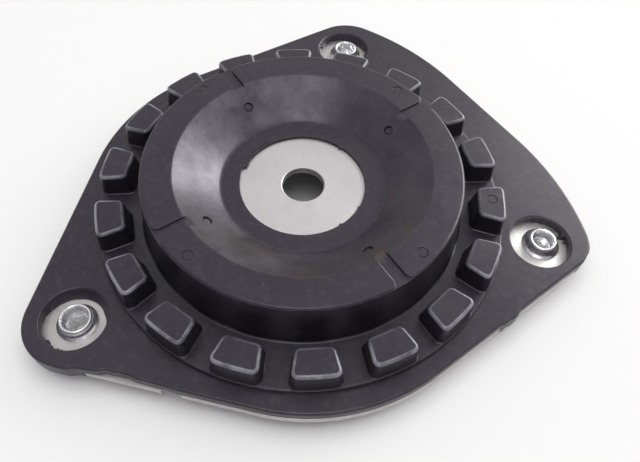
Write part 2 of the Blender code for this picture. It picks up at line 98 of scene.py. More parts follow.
# Nuts as the photograph shows them, a little off the corners of the side with two nuts
NUT_PLACES = {"front": (0.0, -0.0841), "right": (0.0590, 0.0614), "left": (-0.0594, 0.0613)}

# The outline's side with two nuts
SIDE_CORNER_EXTRA = 0.0007
SIDE_CORNER_SHIFT = (-0.0014, 0.0021)
SIDE_BULGE = 0.0092
SIDE_FLAT = 0.0400

# Rubber details
BOND = 0.00002
DISC_OVERLAP = 0.0012
CONE_COVER = 0.0020
SKIN_FILLET = 0.0009
SKIN_OVERLAP = 0.0008
SKIN_LIFT = 0.0001
FLARE_TURN = radians(75)
BLOCK_COUNT = 18
BLOCK_INNER_WIDTH = 0.0117
BLOCK_OUTER_WIDTH = 0.0155
BLOCK_INNER_LEAN = 0.0012
BLOCK_OUTER_LEAN = 0.0005
BLOCK_SIDE_LEAN = 0.0004
BLOCK_FILLET = 0.0011
BLOCK_CORNER_EXTRA = 0.0009
BLOCK_FOOT_FILLET = 0.0006
BLOCK_FOOT_SPREAD = 0.0001
GROOVE_COUNT = 4
GROOVE_WIDTH = 0.0040
GROOVE_DEPTH = 0.0009
GROOVE_LIP = 0.0003
GROOVE_MOUTH_RADIUS = 0.0027
DIMPLE_RADIUS = 0.0016
DIMPLE_PLACE = 0.00805
MARK_RADIUS = 0.0018
MARK_INSET = 0.0039
MARK_TURN = radians(13)
BLOCK_MARK_TURN = radians(51)
RECESS_RADIUS = 0.0103
RECESS_LIP = 0.0008

# Recess from its ragged edge up to a circle: (height over the plate, share of the way)
RECESS_BLEND = ((0.0002, 0.0), (0.0004, 0.12), (0.0008, 0.4), (0.0014, 0.7))

# Underside of the rubber: the bearing's pocket and the groove round it
POCKET_SETBACK = 0.0010
POCKET_SPREAD = 0.0040
UNDER_GROOVE_DEPTH = 0.0040
UNDER_GROOVE_MOUTH = 0.0040
UNDER_GROOVE_HEAD = 0.0020

# Rubber outside the steel's edge, bare steel on the near sides: (degrees round the axis, mm)
SKIN_REACH = (
    (-180, 1.2), (-82, 1.2), (-80.3, 0.2), (-78.5, -0.1), (-77.2, -0.3), (-75.4, -1.3),
    (-74.4, -1.15), (-73.3, -1.35), (-71.5, -1.3), (-69.5, -0.8), (-67, -0.7), (-64.5, -0.6),
    (-60, -0.3), (-20, -0.3), (8, -0.2), (19.6, -0.15), (20.3, 0.5), (21.5, 0.2), (22.3, 0.6),
    (24.2, 0.55), (24.7, -0.2), (30, -0.3), (40, -0.2), (43, 0.5), (46, 1.2), (180, 1.2))

# Bare steel in each recess: its centre, then the rubber's edge as (degrees, mm from the centre)
RECESSES = {
    "front": ((0.0, -0.0844), (
        (0, 10.3), (30, 10.0), (48, 9.5), (55, 9.2), (80, 8.6), (108, 8.5), (130, 8.4), (151, 8.3),
        (165, 8.5), (180, 8.6), (201, 9.1), (214, 9.6), (226, 10.1), (243, 10.4), (258, 10.5),
        (263, 10.4), (268, 9.9), (272, 9.9), (275, 9.2), (281, 9.2), (286, 9.6), (291, 9.4),
        (295, 9.9), (299, 9.7), (303, 9.2), (307, 9.5), (312, 9.2), (318, 9.9), (330, 10.3))),
    "right": ((0.0591, 0.0598), (
        (0, 10.4), (40, 10.4), (52, 10.4), (58, 10.3), (61, 10.4), (63, 9.6), (66, 9.4), (69, 10.3),
        (72, 10.4), (75, 9.0), (77, 8.5), (80, 8.2), (83, 8.7), (86, 10.2), (92, 10.4), (98, 10.2),
        (104, 10.5), (111, 10.2), (120, 10.4), (129, 10.0), (136, 10.3), (146, 9.9), (150, 10.3),
        (170, 10.5), (200, 10.5), (300, 10.5))),
    "left": ((-0.0591, 0.0600), (
        (0, 10.2), (40, 10.0), (50, 9.4), (56, 9.1), (59, 9.9), (64, 9.6), (70, 10.0), (80, 9.5),
        (90, 9.2), (102, 9.2), (121, 9.7), (139, 9.7), (156, 9.8), (175, 10.0), (195, 10.2),
        (210, 9.7), (214, 10.3), (240, 10.4), (300, 10.4)))}

# The rubber's edge on the disc: (degrees, mm from the axis)
DISC_EDGE = (
    (0, 21.1), (1, 21.0), (2, 20.5), (3.5, 21.1), (27, 21.1), (28.5, 20.6), (29.5, 21.2),
    (60, 21.2), (104, 21.1), (106.5, 20.9), (108, 20.4), (110, 21.0), (140, 21.0), (175, 20.9),
    (208, 20.8), (215, 20.5), (218, 20.6), (220, 21.6), (223, 21.9), (227, 21.8), (233, 21.6),
    (255, 21.5), (300, 21.5), (326, 21.4), (345, 21.2))
DISC_LIP = 0.15

# Line of flash beside the disc
FLASH_RADIUS = 0.0221
FLASH_TURNS = (radians(172), radians(216))
FLASH_HALF_FOOT = 0.00018
FLASH_HALF_CREST = 0.00007
FLASH_HEIGHT = 0.00014
FLASH_SINK = 0.0002

# Edges of the steel
PLATE_EDGE_RADIUS = 0.0004
CUP_EDGE_RADIUS = 0.0005
NOTCH_PLACE = -0.0216
NOTCH_HALF_WIDTH = 0.0030
NOTCH_DEPTH = 0.0012
NOTCH_FILLET = 0.0006

# Nut
SHANK_RADIUS = 0.0051
SKIRT_RADIUS = 0.0064
TUBE_BORE = 0.0040
THREAD_MINOR = 0.0033
THREAD_DEPTH = 0.0005
THREAD_PITCH = 0.00125
NUT_ACROSS_FLATS = 0.0130
NUT_COLLAR_INSET = 0.0005
NUT_HOLE_RADIUS = SHANK_RADIUS + 0.0001
HEXAGON_BORE = 0.0048
NICK_DEPTH = 0.00016

# Rolled collar from its lip down: (radius, height from the nut's top)
ROLLED_COLLAR = (
    (0.00455, 0.0), (0.00475, -0.00003), (0.00493, -0.00014), (0.00505, -0.00032),
    (SHANK_RADIUS, -0.0006), (0.00514, -0.0010))

# Mouth of the collar's bore: (distance out from the bore, share of a nick, height from the top)
COLLAR_MOUTH = (
    (0.0, 0, -0.0009), (0.0, 1, -0.0007), (0.00004, 1, -0.0003), (0.00028, 0, -0.00016),
    (0.0004, 0, -0.00003))

# Skirt that grips the plate: (radius, height from the plate's top)
SKIRT = (
    (0.00525, 0.0015), (0.0054, 0.0011), (0.00565, 0.0008), (0.0059, 0.0006), (0.0061, 0.00045),
    (SKIRT_RADIUS, 0.0002), (SKIRT_RADIUS, -0.0002), (SHANK_RADIUS, -0.0002))

# Rings pressed into the plate round a nut: (radius, height from the plate's top)
PRESSED_RINGS = (
    (0.0063, 0.0010), (0.0063, -0.00014), (0.0066, -0.00014), (0.0069, -0.00005),
    (0.0073, -0.00012), (0.0077, -0.00003), (0.0082, -0.00007), (0.0086, -0.00002),
    (0.0090, 0.00003), (0.0090, 0.0010))

# Facets and shading
MM = 0.001
TURN_STEPS = 180
NUT_STEPS = 88
LONGEST_STEP = 0.0012
SMOOTH_ANGLE = radians(38)
# Rounded edges that get the painted highlight: their bend angles and their largest face
HIGHLIGHT_ANGLES = (radians(9.5), radians(13))
HIGHLIGHT_FACE = 3.0e-6

# Sockets of a node that mixes two colours
MIX_SHARE, MIX_FIRST, MIX_SECOND, MIX_RESULT = 0, 6, 7, 2


# Points

def arc(centre, radius, start, end, count):
    """Points on an arc, both ends included."""
    turns = [start + (end - start) * i / count for i in range(count + 1)]
    return [(centre[0] + radius * cos(a), centre[1] + radius * sin(a)) for a in turns]


def fillet(before, corner, after, radius, count):
    """Points on the arc that rounds one corner."""
    into = (corner[0] - before[0], corner[1] - before[1])
    out = (after[0] - corner[0], after[1] - corner[1])
    turn = atan2(into[0] * out[1] - into[1] * out[0], into[0] * out[0] + into[1] * out[1])
    setback = radius * tan(abs(turn) / 2)
    length = hypot(*into)
    start = (corner[0] - into[0] / length * setback, corner[1] - into[1] / length * setback)
    heading = atan2(into[1], into[0])
    side = 1 if turn > 0 else -1
    centre = (start[0] - side * radius * sin(heading), start[1] + side * radius * cos(heading))
    first = heading - side * pi / 2
    return arc(centre, radius, first, first + turn, count)


def rounded(corners):
    """Turn (x, y, radius, segments) corners into points, each fillet an arc."""
    points = []
    for index, (x, y, radius, count) in enumerate(corners):
        if radius <= 0:
            points.append((x, y))
            continue
        before = corners[index - 1][:2]
        after = corners[(index + 1) % len(corners)][:2]
        points += fillet(before, (x, y), after, radius, count)
    return points


def subdivided(points, longest):
    """A closed chain with its long straight runs divided."""
    result = []
    for start, end in zip(points, points[1:] + points[:1]):
        count = max(1, round(hypot(end[0] - start[0], end[1] - start[1]) / longest))
        for i in range(count):
            share = i / count
            result.append((start[0] + (end[0] - start[0]) * share,
                           start[1] + (end[1] - start[1]) * share))
    return result


def nut_place(turn):
    """A corner's centre on the circle through the corners."""
    return NUT_CIRCLE_RADIUS * cos(turn), NUT_CIRCLE_RADIUS * sin(turn)


# Outline of the steel, as points with their outward directions

def arc_with_normals(centre, radius, start, end, longest):
    """Points on an arc with steps no longer than about a length, each with its direction."""
    count = max(2, round(abs(end - start) * radius / longest))
    rows = []
    for i in range(count + 1):
        a = start + (end - start) * i / count
        place = (centre[0] + radius * cos(a), centre[1] + radius * sin(a))
        rows.append((place, (cos(a), sin(a))))
    return rows


def straight_rows(first, last, longest):
    """Points between two rows that share a direction, ends left out."""
    (x0, y0), normal = first
    x1, y1 = last[0]
    count = max(1, round(hypot(x1 - x0, y1 - y0) / longest))
    return [((x0 + (x1 - x0) * i / count, y0 + (y1 - y0) * i / count), normal)
            for i in range(1, count)]


def steel_outline(longest=LONGEST_STEP):
    """The plate's outline, counter-clockwise from the front corner."""
    front = NUT_TURNS["front"]
    side_radius = CORNER_RADIUS + SIDE_CORNER_EXTRA
    x, y = nut_place(NUT_TURNS["right"])
    corner = (x + SIDE_CORNER_SHIFT[0], y + SIDE_CORNER_SHIFT[1])
    first = front + acos((EDGE_REACH - CORNER_RADIUS) / NUT_CIRCLE_RADIUS)
    second = atan2(corner[1], corner[0]) - acos((EDGE_REACH - side_radius) / hypot(*corner))
    middle = (first + second) / 2
    shift = (EDGE_REACH - ROUND_SIDE_RADIUS) / cos((second - first) / 2)
    deep = side_radius + SIDE_BULGE
    run = corner[0] - SIDE_FLAT / 2
    bow_radius = (run ** 2 + deep ** 2 - side_radius ** 2) / (2 * SIDE_BULGE)
    bow_centre = (SIDE_FLAT / 2, corner[1] + deep - bow_radius)
    meet = atan2(corner[1] - bow_centre[1], run)
    arcs = [
        (nut_place(front), CORNER_RADIUS, front, first),
        ((shift * cos(middle), shift * sin(middle)), ROUND_SIDE_RADIUS, first, second),
        (corner, side_radius, second, meet),
        (bow_centre, bow_radius, meet, pi / 2)]
    half = []
    for centre, radius, start, end in arcs:
        rows = arc_with_normals(centre, radius, start, end, longest)
        if half:
            gap = hypot(rows[0][0][0] - half[-1][0][0], rows[0][0][1] - half[-1][0][1])
            if gap > longest / 4:
                half += straight_rows(half[-1], rows[0], longest)
            else:
                rows = rows[1:]
        half += rows
    top = [((0.0, half[-1][0][1]), (0.0, 1.0))]
    half += straight_rows(half[-1], top[0], longest) + top
    mirrored = [((-p[0], p[1]), (-n[0], n[1])) for p, n in half[-2:0:-1]]
    return half + mirrored


def ring_at(rows, height, reach):
    """The outline moved outwards by reach, a number or a function of the place."""
    ring = []
    for (x, y), (nx, ny) in rows:
        out = reach(x, y) if callable(reach) else reach
        ring.append((x + nx * out, y + ny * out, height))
    return ring


# Meshes

def mesh_object(name, verts, faces):
    """An object from points and faces, with its normals outwards."""
    mesh = bpy.data.meshes.new(name)
    mesh.from_pydata(verts, [], faces)
    bm = bmesh.new()
    bm.from_mesh(mesh)
    bmesh.ops.recalc_face_normals(bm, faces=bm.faces)
    if bm.calc_volume(signed=True) < 0:
        bmesh.ops.reverse_faces(bm, faces=bm.faces)
    bm.to_mesh(mesh)
    bm.free()
    item = bpy.data.objects.new(name, mesh)
    bpy.context.scene.collection.objects.link(item)
    return item


def turned(name, section, steps, phase=0.0):
    """A closed section of (radius, height) turned about the axis."""
    count = len(section)
    verts = []
    for step in range(steps):
        a = phase + 2 * pi * step / steps
        verts += [(r * cos(a), r * sin(a), z) for r, z in section]
    faces = []
    for step in range(steps):
        here, there = step * count, (step + 1) % steps * count
        for i in range(count):
            j = (i + 1) % count
            faces.append((here + i, there + i, there + j, here + j))
    return mesh_object(name, verts, faces)


def stacked(name, rings):
    """A solid through closed rings of points, one above the other."""
    count = len(rings[0])
    verts = [point for ring in rings for point in ring]
    faces = [tuple(range(count))[::-1], tuple(range((len(rings) - 1) * count, len(verts)))]
    for level in range(len(rings) - 1):
        here, there = level * count, (level + 1) * count
        for i in range(count):
            j = (i + 1) % count
            faces.append((here + i, here + j, there + j, there + i))
    return mesh_object(name, verts, faces)


def round_plug(name, levels, steps):
    """A turned solid that is closed on the axis, from (radius, height) levels."""
    rings = []
    for radius, height in levels:
        rings.append([(radius * cos(2 * pi * i / steps), radius * sin(2 * pi * i / steps), height)
                      for i in range(steps)])
    return stacked(name, rings)


def settle(item):
    """Apply an object's modifiers to its mesh."""
    view = bpy.context.evaluated_depsgraph_get()
    mesh = bpy.data.meshes.new_from_object(item.evaluated_get(view), depsgraph=view)
    item.modifiers.clear()
    item.data = mesh
    mesh.name = item.name


def combine(item, others, operation):
    """Join, cut or trim a solid by others, which are used up."""
    group = bpy.data.collections.new(item.name + "_tools")
    bpy.context.scene.collection.children.link(group)
    for other in others:
        group.objects.link(other)
    step = item.modifiers.new("combine", "BOOLEAN")
    step.operation = operation
    step.solver = "EXACT"
    step.operand_type = "COLLECTION"
    step.collection = group
    settle(item)
    for other in others:
        bpy.data.objects.remove(other)
    bpy.data.collections.remove(group)


def put(item, radius, turn):
    """Move an object out from the axis and turn it with its radius."""
    item.location = (radius * cos(turn), radius * sin(turn), 0)
    item.rotation_euler = (0, 0, turn)
    return item


def mark_edges(mesh):
    """Store on each point whether it lies inside a rounded outer edge, for the painted edge highlight."""
    bm = bmesh.new()
    bm.from_mesh(mesh)
    layer = bm.verts.layers.float.new("edge")
    low, high = HIGHLIGHT_ANGLES
    for vert in bm.verts:
        angle = max(edge.calc_face_angle_signed(0.0) for edge in vert.link_edges)
        if max(face.calc_area() for face in vert.link_faces) < HIGHLIGHT_FACE:
            vert[layer] = min(1.0, max(0.0, (angle - low) / (high - low)))
    bm.to_mesh(mesh)
    bm.free()


def finish_piece(item, surface, slot, *nodes):
    """Shade a piece, give it its material, and set it on the axis in the frame."""
    mesh = item.data
    mark_edges(mesh)
    mesh.transform(Matrix.Translation((0, AXIS_Y, 0)) @ item.matrix_basis)
    item.matrix_basis = Matrix.Identity(4)
    mesh.shade_smooth()
    mesh.set_sharp_from_angle(angle=SMOOTH_ANGLE)
    mesh.materials.clear()
    mesh.materials.append(surface)
    weighted = item.modifiers.new("even_shading", "WEIGHTED_NORMAL")
    weighted.keep_sharp = True
    weighted.weight = 100
    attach(item, "root")
    if nodes:
        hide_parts(*nodes)


# Rubber moulding

def rubber_section():
    """Outer form of the turned rubber, the steel still inside it."""
    inside = DISC_RADIUS - DISC_OVERLAP
    collar_inside = COLLAR_RADIUS - STEEL_THICKNESS
    pocket_head = CONE_FOOT_RADIUS + POCKET_SETBACK
    pocket_foot = pocket_head + POCKET_SPREAD
    steel_middle = DISC_TOP - CUP_THICKNESS / 2
    groove_middle = (pocket_foot + collar_inside) / 2
    groove_top = SPRING_BOTTOM + UNDER_GROOVE_DEPTH
    mouth, head = UNDER_GROOVE_MOUTH, UNDER_GROOVE_HEAD
    longest_run = 0.0030
    return subdivided(rounded([
        (inside, RING_TOP, 0, 0),
        (CONE_FOOT_RADIUS, RING_TOP, 0.0034, 6),
        (RIM_INNER_RADIUS, RIM_TOP, 0.0010, 5),
        (RIM_OUTER_RADIUS, RIM_TOP, 0.0010, 6),
        (WALL_FOOT_RADIUS, PLATFORM_TOP, 0.0010, 4),
        (PLATFORM_RADIUS, PLATFORM_TOP, 0.0007, 5),
        (PLATFORM_RADIUS, SPRING_BOTTOM, 0, 0),
        (groove_middle + mouth, SPRING_BOTTOM, 0.0006, 3),
        (groove_middle + head, groove_top, 0.0010, 4),
        (groove_middle - head, groove_top, 0.0010, 4),
        (groove_middle - mouth, SPRING_BOTTOM, 0.0006, 3),
        (pocket_foot, SPRING_BOTTOM, 0.0006, 3),
        (pocket_head, steel_middle, 0, 0),
        (inside, steel_middle, 0, 0)]), longest_run)


def block_ring(grow, lean, height):
    """A block's outline grown by an offset and by a share of its draft, with round corners."""
    inner, outer = BLOCK_INNER_WIDTH / 2, BLOCK_OUTER_WIDTH / 2
    near = BLOCK_INNER_RADIUS - grow - lean * BLOCK_INNER_LEAN
    far = BLOCK_OUTER_RADIUS + grow + lean * BLOCK_OUTER_LEAN
    slope = (outer - inner) / (BLOCK_OUTER_RADIUS - BLOCK_INNER_RADIUS)
    side = (grow + lean * BLOCK_SIDE_LEAN) * hypot(1, slope)

    def half_width(x):
        return inner + slope * (x - BLOCK_INNER_RADIUS) + side

    edge = far * cos(half_width(far) / far)
    radius = BLOCK_FILLET + grow + BLOCK_CORNER_EXTRA
    # A bow has three quarters of its rise halfway to its middle
    halfway = edge + (far - edge) * 0.75
    corners = [
        (near, half_width(near), radius, 5), (near, -half_width(near), radius, 5),
        (edge, -half_width(edge), radius, 5), (halfway, -half_width(edge) / 2, 0, 0),
        (far, 0.0, 0, 0),
        (halfway, half_width(edge) / 2, 0, 0), (edge, half_width(edge), radius, 5)]
    return [(x, y, height) for x, y in rounded(corners)]


def block(turn):
    """One bump block with a rounded top and a flared foot."""
    foot, top = PLATFORM_TOP, BLOCK_TOP
    levels = []
    for i in range(5):
        a = FLARE_TURN * (1 - i / 4)
        levels.append((BLOCK_FOOT_FILLET * (1 - cos(a)), 1, foot + BLOCK_FOOT_FILLET * (1 - sin(a))))
    levels.insert(0, (levels[0][0] + BLOCK_FOOT_SPREAD, 1, foot - SKIN_OVERLAP))
    for i in range(7):
        a = pi / 2 * i / 6
        levels.append((-BLOCK_FILLET * (1 - cos(a)), 0, top - BLOCK_FILLET * (1 - sin(a))))
    item = stacked("block", [block_ring(*level) for level in levels])
    item.rotation_euler = (0, 0, turn)
    return item


def blocks():
    """The ring of bump blocks, one of them on the +Y side."""
    return [block(pi / 2 + 2 * pi * i / BLOCK_COUNT) for i in range(BLOCK_COUNT)]


def between(table, value):
    """Value read between the rows of a table of (place, number)."""
    for (low, first), (high, second) in zip(table, table[1:]):
        if value <= high:
            share = max(0.0, (value - low) / (high - low))
            return first + (second - first) * share * share * (3 - 2 * share)
    return table[-1][1]


def skin_reach(x, y):
    """How far the rubber stands outside the steel at a place on the outline."""
    return between(SKIN_REACH, degrees(atan2(y, x))) / 1000


def skin():
    """Flat skin over the plate, open in the middle, with a rounded edge."""
    rows = steel_outline()
    rings = [ring_at(rows, PLATE_BOTTOM + SKIN_LIFT, skin_reach),
             ring_at(rows, PLATE_TOP - SKIN_LIFT, skin_reach)]
    for i in range(6):
        a = pi / 2 * i / 5
        drop = SKIN_FILLET * (1 - cos(a))
        rings.append(ring_at(rows, SKIN_TOP - SKIN_FILLET * (1 - sin(a)),
                             lambda x, y, drop=drop: skin_reach(x, y) - drop))
    cover = stacked("skin", rings)
    inside = PLATFORM_RADIUS - SKIN_OVERLAP
    hole = round_plug("hole", [(inside, 0.0), (inside, RIM_TOP)], TURN_STEPS)
    combine(cover, [hole], "DIFFERENCE")
    return cover


def sheet_section(chain, thickness, grow):
    """Closed section of sheet metal under a chain, grown by a clearance."""

    def moved(points, distance):
        result = []
        for i, (x, y) in enumerate(points):
            ahead = points[min(i + 1, len(points) - 1)]
            behind = points[max(i - 1, 0)]
            leave = atan2(ahead[1] - y, ahead[0] - x) if i + 1 < len(points) else None
            reach = atan2(y - behind[1], x - behind[0]) if i else leave
            leave = reach if leave is None else leave
            middle = (reach + leave) / 2
            stretch = distance / cos((leave - reach) / 2)
            result.append((x - stretch * sin(middle), y + stretch * cos(middle)))
        return result

    return moved(chain, grow) + moved(chain, -thickness - grow)[::-1]


def cup_chain(start):
    """Upper side of the inner cup, from a radius outwards."""
    slope = atan2(RIM_TOP - RING_TOP, RIM_INNER_RADIUS - CONE_FOOT_RADIUS)
    flange_top = CUP_HIGH.z
    cover = CONE_COVER / sin(slope)
    foot = CONE_FOOT_RADIUS + (DISC_TOP - RING_TOP) / tan(slope) + cover
    head = CONE_FOOT_RADIUS + (flange_top - RING_TOP) / tan(slope) + cover
    corners = [
        (start, DISC_TOP, 0, 0), (foot, DISC_TOP, 0.0040, 5),
        (head, flange_top, 0.0050, 5), (CUP_HIGH.x, flange_top, 0, 0)]
    return open_chain(corners)


def plate_chain():
    """Upper side of the carrier plate, from the collar's top outwards."""
    foot = PLATFORM_RADIUS - SEAT_INSET
    corners = [
        (COLLAR_RADIUS, PLATE_HIGH.z, 0, 0), (COLLAR_RADIUS, SEAT_TOP, 0.0025, 6),
        (foot - SEAT_STEP, SEAT_TOP, 0.0006, 3), (foot, PLATE_TOP, 0.0006, 3),
        (NUT_CIRCLE_RADIUS + 2 * CORNER_RADIUS, PLATE_TOP, 0, 0)]
    return open_chain(corners)


def open_chain(corners):
    """Like rounded, for a chain whose ends have no fillet."""
    points = [corners[0][:2]]
    for before, corner, after in zip(corners, corners[1:], corners[2:]):
        points += fillet(before[:2], corner[:2], after[:2], corner[2], corner[3])
    return points + [corners[-1][:2]]


def groove_ring(grow, height):
    """Outline of a rim groove, which opens out round its mouth."""
    half = GROOVE_WIDTH / 2 + grow
    radius = GROOVE_MOUTH_RADIUS - grow
    bend = RIM_OUTER_RADIUS - GROOVE_MOUTH_RADIUS
    inner_run, outer_run = 0.0020, 0.0030
    near = RIM_INNER_RADIUS - inner_run - grow
    side = arc((bend, GROOVE_WIDTH / 2 + GROOVE_MOUTH_RADIUS), radius, -pi / 2, 0, 8)
    upper = [(near, half)] + side + [(RIM_OUTER_RADIUS + outer_run, side[-1][1])]
    return [(x, y, height) for x, y in upper + [(x, -y) for x, y in upper[::-1]]]


def groove(turn):
    """Cutter for one groove across the rim, with soft edges."""
    lip = GROOVE_LIP
    floor = RIM_TOP - GROOVE_DEPTH
    levels = [(-lip, floor), (-lip / 4, floor + lip / 3), (0.0, floor + lip)]
    levels += [(0.0, RIM_TOP - lip), (lip / 4, RIM_TOP - lip / 3), (lip, RIM_TOP + lip / 10)]
    levels += [(lip, RIM_TOP + GROOVE_DEPTH)]
    item = stacked("groove", [groove_ring(grow, height) for grow, height in levels])
    item.rotation_euler = (0, 0, turn)
    return item


def dimple(turn):
    """Round pin mark in the cone, square to the cone's surface."""
    slope = atan2(RIM_TOP - RING_TOP, RIM_INNER_RADIUS - CONE_FOOT_RADIUS)
    # Shares of the radius, and millimetres from the cone
    levels = [(0.62, -0.45), (0.72, -0.55), (0.80, -0.95), (0.98, -0.95), (1.0, -0.3),
              (1.05, -0.05), (1.2, 0.4)]
    item = round_plug("dimple", [(r * DIMPLE_RADIUS, z * MM) for r, z in levels], 24)
    radius = CONE_FOOT_RADIUS + DIMPLE_PLACE
    height = RING_TOP + DIMPLE_PLACE * tan(slope)
    item.matrix_basis = (Matrix.Rotation(turn, 4, "Z") @ Matrix.Translation((radius, 0, height))
                         @ Matrix.Rotation(-slope, 4, "Y"))
    return item


def round_mark(radius, turn, height):
    """Shallow ejector mark: a round dish with its middle left a little proud."""
    # Shares of the radius, and millimetres from the surface
    levels = [(0.82, -0.10), (0.90, -0.24), (0.97, -0.20), (1.02, -0.02), (1.10, 0.60)]
    plug = round_plug("mark", [(r * MARK_RADIUS, height + z * MM) for r, z in levels], 40)
    return put(plug, radius, turn)


def edge_ring(centre, edge, height, share=0.0, radius=0.0):
    """A ragged outline, by its share brought to a circle."""
    table = edge + ((360, edge[0][1]),)
    ring = []
    for i in range(TURN_STEPS):
        a = 2 * pi * i / TURN_STEPS
        reach = between(table, 360 * i / TURN_STEPS) / 1000
        reach += (radius - reach) * share
        ring.append((centre[0] + reach * cos(a), centre[1] + reach * sin(a), height))
    return ring


def recess(side):
    """Recess through the skin over a nut: ragged edge on the steel, soft lip at the top."""
    centre, edge = RECESSES[side]
    top = SKIN_TOP - RECESS_LIP
    levels = [(PLATE_BOTTOM, 0.0)] + [(PLATE_TOP + rise, share) for rise, share in RECESS_BLEND]
    levels.append((top - 0.0006, 0.95))
    rings = [edge_ring(centre, edge, height, share, RECESS_RADIUS) for height, share in levels]
    for i in range(6):
        a = FLARE_TURN * i / 5
        radius = RECESS_RADIUS + RECESS_LIP * (1 - cos(a))
        rings.append(edge_ring(centre, edge, top + RECESS_LIP * sin(a), 1, radius))
    rings.append(edge_ring(centre, edge, SKIN_TOP + RECESS_LIP, 1, RECESS_RADIUS + RECESS_LIP))
    return stacked("recess", rings)


def disc_window():
    """Opening in the rubber over the disc, with the edge that the mould left."""
    heights = (DISC_TOP - 0.0005, RING_TOP - 0.0002, RING_TOP, RING_TOP + 0.0010)
    grown = (0.0, 0.0, DISC_LIP, DISC_LIP)
    return stacked("disc_window", [
        edge_ring((0, 0), tuple((turn, reach + more) for turn, reach in DISC_EDGE), height)
        for height, more in zip(heights, grown)])


def flash_ridge():
    """Thin line of flash on the ring beside the disc, its ends fading into the rubber."""
    first, last = FLASH_TURNS
    section = [(-FLASH_HALF_FOOT, -FLASH_SINK), (-FLASH_HALF_CREST, FLASH_HEIGHT),
               (FLASH_HALF_CREST, FLASH_HEIGHT), (FLASH_HALF_FOOT, -FLASH_SINK)]
    size, count = len(section), 40
    verts = []
    for i in range(count + 1):
        a = first + (last - first) * i / count
        fade = min(1.0, 5 * i / count, 5 * (count - i) / count)
        for r, z in section:
            height = RING_TOP + (z + FLASH_SINK) * fade - FLASH_SINK
            verts.append(((FLASH_RADIUS + r) * cos(a), (FLASH_RADIUS + r) * sin(a), height))
    faces = [tuple(range(size)), tuple(size * count + j for j in reversed(range(size)))]
    for i in range(count):
        here, there = size * i, size * (i + 1)
        for j in range(size):
            k = (j + 1) % size
            faces.append((here + j, here + k, there + k, there + j))
    return mesh_object("flash_ridge", verts, faces)


def plate_room():
    """Room for the carrier plate, cut to its outline."""
    space = turned("plate_room", sheet_section(plate_chain(), STEEL_THICKNESS, BOND), TURN_STEPS)
    rows = steel_outline()
    trim = stacked("trim", [ring_at(rows, 0.0, BOND), ring_at(rows, RIM_TOP, BOND)])
    combine(space, [trim], "INTERSECT")
    return space


def cup_room():
    """Room for the inner cup."""
    section = sheet_section(cup_chain(BORE_RADIUS), CUP_THICKNESS, BOND)
    return turned("cup_room", section, TURN_STEPS)


def rubber_moulding():
    """The turned body with its skin and blocks, less the steel's room and every cut."""
    body = turned("rubber_moulding", rubber_section(), TURN_STEPS, pi / TURN_STEPS)
    combine(body, [skin()], "UNION")
    combine(body, blocks() + [flash_ridge()], "UNION")
    combine(body, [plate_room(), cup_room()], "DIFFERENCE")
    turns = [2 * pi * i / GROOVE_COUNT for i in range(GROOVE_COUNT)]
    cuts = [groove(turn) for turn in turns]
    cuts += [dimple(turn) for turn in turns]
    cuts += [round_mark(RIM_OUTER_RADIUS - MARK_INSET, turn + MARK_TURN, RIM_TOP) for turn in turns]
    cuts += [round_mark((BLOCK_INNER_RADIUS + BLOCK_OUTER_RADIUS) / 2, BLOCK_MARK_TURN, BLOCK_TOP)]
    cuts += [recess(side) for side in RECESSES]
    cuts.append(disc_window())
    combine(body, cuts, "DIFFERENCE")
    return body


# Steel

def carrier_stamping():
    """The carrier plate with rounded edges, its notch, nut holes and pressed rings."""
    plate = turned("carrier_stamping", sheet_section(plate_chain(), STEEL_THICKNESS, 0), TURN_STEPS)
    rows = steel_outline()
    edge = PLATE_EDGE_RADIUS
    over = BOND
    rings = [ring_at(rows, 0.0, -edge), ring_at(rows, PLATE_BOTTOM - over, -edge)]
    for i in range(5):
        a = pi / 2 * i / 4
        rings.append(ring_at(rows, PLATE_BOTTOM + edge * (1 - cos(a)), -edge * (1 - sin(a))))
    for i in range(5):
        a = pi / 2 * i / 4
        rings.append(ring_at(rows, PLATE_TOP - edge * (1 - sin(a)) + over, -edge * (1 - cos(a))))
    rings.append(ring_at(rows, RIM_TOP, -edge))
    combine(plate, [stacked("trim", rings)], "INTERSECT")
    cuts = [notch()]
    for place in NUT_PLACES.values():
        hole = round_plug("hole", [(NUT_HOLE_RADIUS, 0.0), (NUT_HOLE_RADIUS, SKIN_TOP)], NUT_STEPS)
        for cutter in (hole, pressed_rings()):
            cutter.location = (*place, 0)
            cuts.append(cutter)
    combine(plate, cuts, "DIFFERENCE")
    return plate


def notch():
    """Locating notch in the straight edge beside the front corner."""
    turn = NUT_TURNS["front"] + acos((EDGE_REACH - CORNER_RADIUS) / NUT_CIRCLE_RADIUS)
    inner, outer = EDGE_REACH - NOTCH_DEPTH, EDGE_REACH + NOTCH_DEPTH
    low, high = NOTCH_PLACE - NOTCH_HALF_WIDTH, NOTCH_PLACE + NOTCH_HALF_WIDTH
    corners = [(inner, low, NOTCH_FILLET, 5), (outer, low, 0, 0),
               (outer, high, 0, 0), (inner, high, NOTCH_FILLET, 5)]
    points = rounded(corners)
    item = stacked("notch", [[(x, y, z) for x, y in points] for z in (0.0, SKIN_TOP)])
    item.rotation_euler = (0, 0, turn)
    return item


def pressed_rings():
    """Shallow rings that the press leaves in the plate round a nut."""
    return turned("pressed_rings", [(r, PLATE_TOP + z) for r, z in PRESSED_RINGS], NUT_STEPS)


